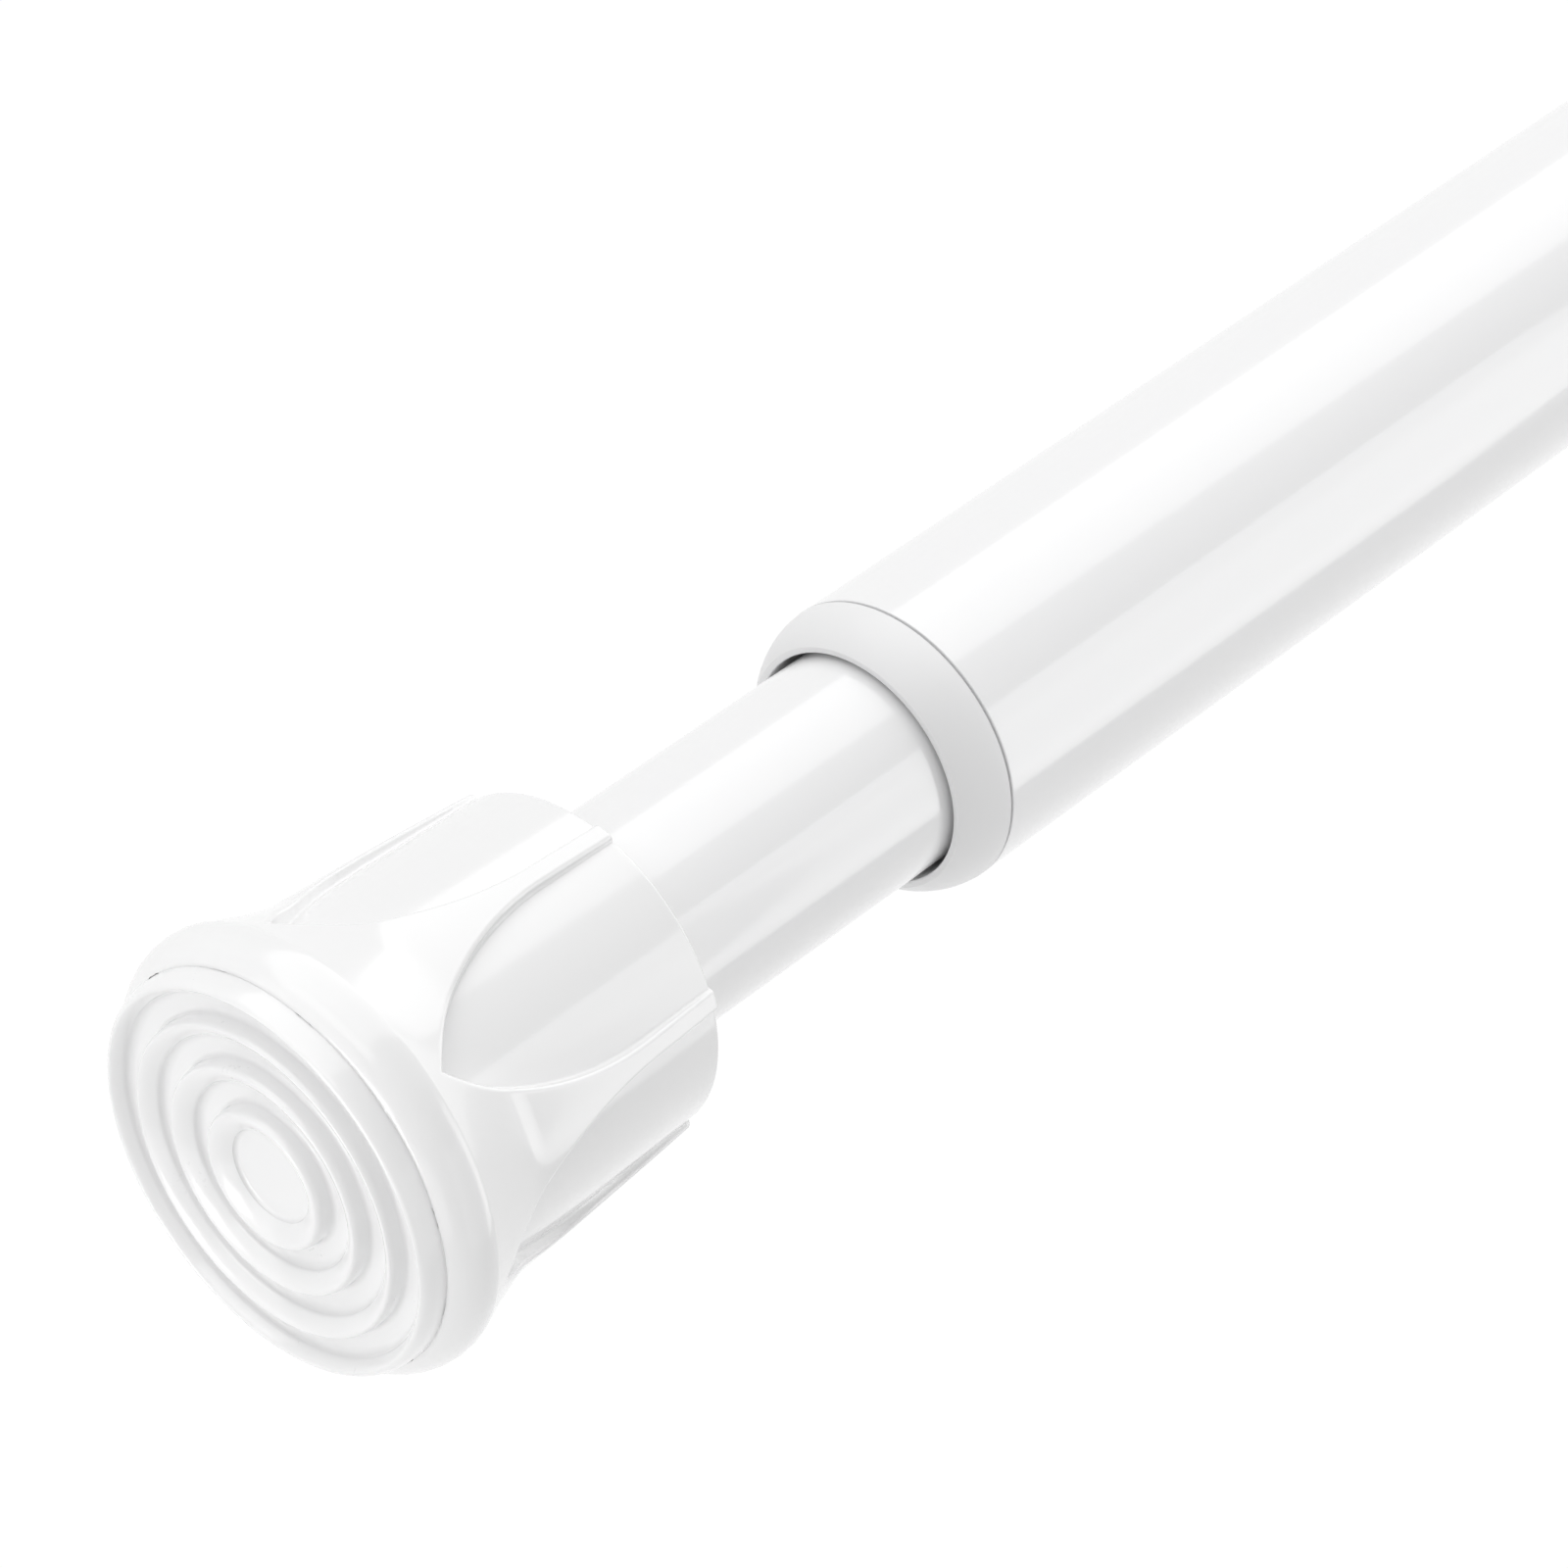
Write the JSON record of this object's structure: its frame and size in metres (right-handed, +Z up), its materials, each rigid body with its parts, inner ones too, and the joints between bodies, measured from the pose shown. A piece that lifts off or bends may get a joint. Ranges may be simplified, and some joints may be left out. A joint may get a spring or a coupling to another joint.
{
  "type": "spring tension rod",
  "caption": "Telescoping round curtain rod that a spring inside presses between two walls, with a twist lock, a flared panelled cap and a ringed soft pad at each end.",
  "frame": {"origin": "on the rod's axis, in the plane where the crests of the first foot's pad meet the wall", "axes": "+X along the rod to the other foot, +Z up, +Y level across the rod"},
  "size_m": [0.406, 0.0376, 0.0376],
  "materials": {
    "pad_rubber": "satin",
    "cap_plastic": "gloss",
    "sleeve_plastic": "matte",
    "tube_paint": "gloss",
    "collar_plastic": "satin",
    "lock_plastic": "matte",
    "spindle_plastic": "matte",
    "drag_plastic": "matte",
    "cam_plastic": "matte",
    "grip_rubber": "matte",
    "spring_steel": "bright drawn",
    "plated_steel": "zinc plated"
  },
  "bodies": {
    "inner_rod": {"inner_foot_pad": "pad_rubber", "inner_end_cap": "cap_plastic", "reducer_sleeve": "sleeve_plastic", "inner_tube": "tube_paint", "spring_seat": "lock_plastic", "seat_washer": "plated_steel", "end_bush": "lock_plastic", "compression_spring": "spring_steel"},
    "spindle": {"lock_spindle": "spindle_plastic", "spring_cup": "lock_plastic", "cup_screw": "plated_steel", "thrust_washer": "plated_steel", "retaining_washer": "plated_steel", "retaining_screw": "plated_steel"},
    "drag": {"drag_ring": "drag_plastic"},
    "cam": {"cam_ring": "cam_plastic", "cam_grip_ring": "grip_rubber"},
    "outer_rod": {"outer_tube": "tube_paint", "mouth_collar": "collar_plastic", "outer_end_cap": "cap_plastic", "outer_foot_pad": "pad_rubber"}
  },
  "joints": [
    {"name": "spring_press", "type": "slide", "parent": "inner_rod", "child": "spindle", "axis": [-1, 0, 0], "range_m": [0, 0.025], "stiffness_N_per_m": 2000, "springref_m": -0.005, "deforming": ["compression_spring"]},
    {"name": "twist_lock", "type": "hinge", "parent": "spindle", "child": "drag", "pos_m": [0.3215, 0, 0], "axis": [1, 0, 0], "range_deg": [0, 50]},
    {"name": "cam_turn", "type": "hinge", "parent": "spindle", "child": "cam", "pos_m": [0.334, 0, 0.0005], "axis": [1, 0, 0], "range_deg": [0, 50]},
    {"name": "telescope", "type": "slide", "parent": "drag", "child": "outer_rod", "axis": [1, 0, 0], "range_m": [-0.005, 0.2]}
  ],
  "couplings": [
    {"joint": "cam_turn", "follows": "twist_lock", "ratio": 1}
  ]
}
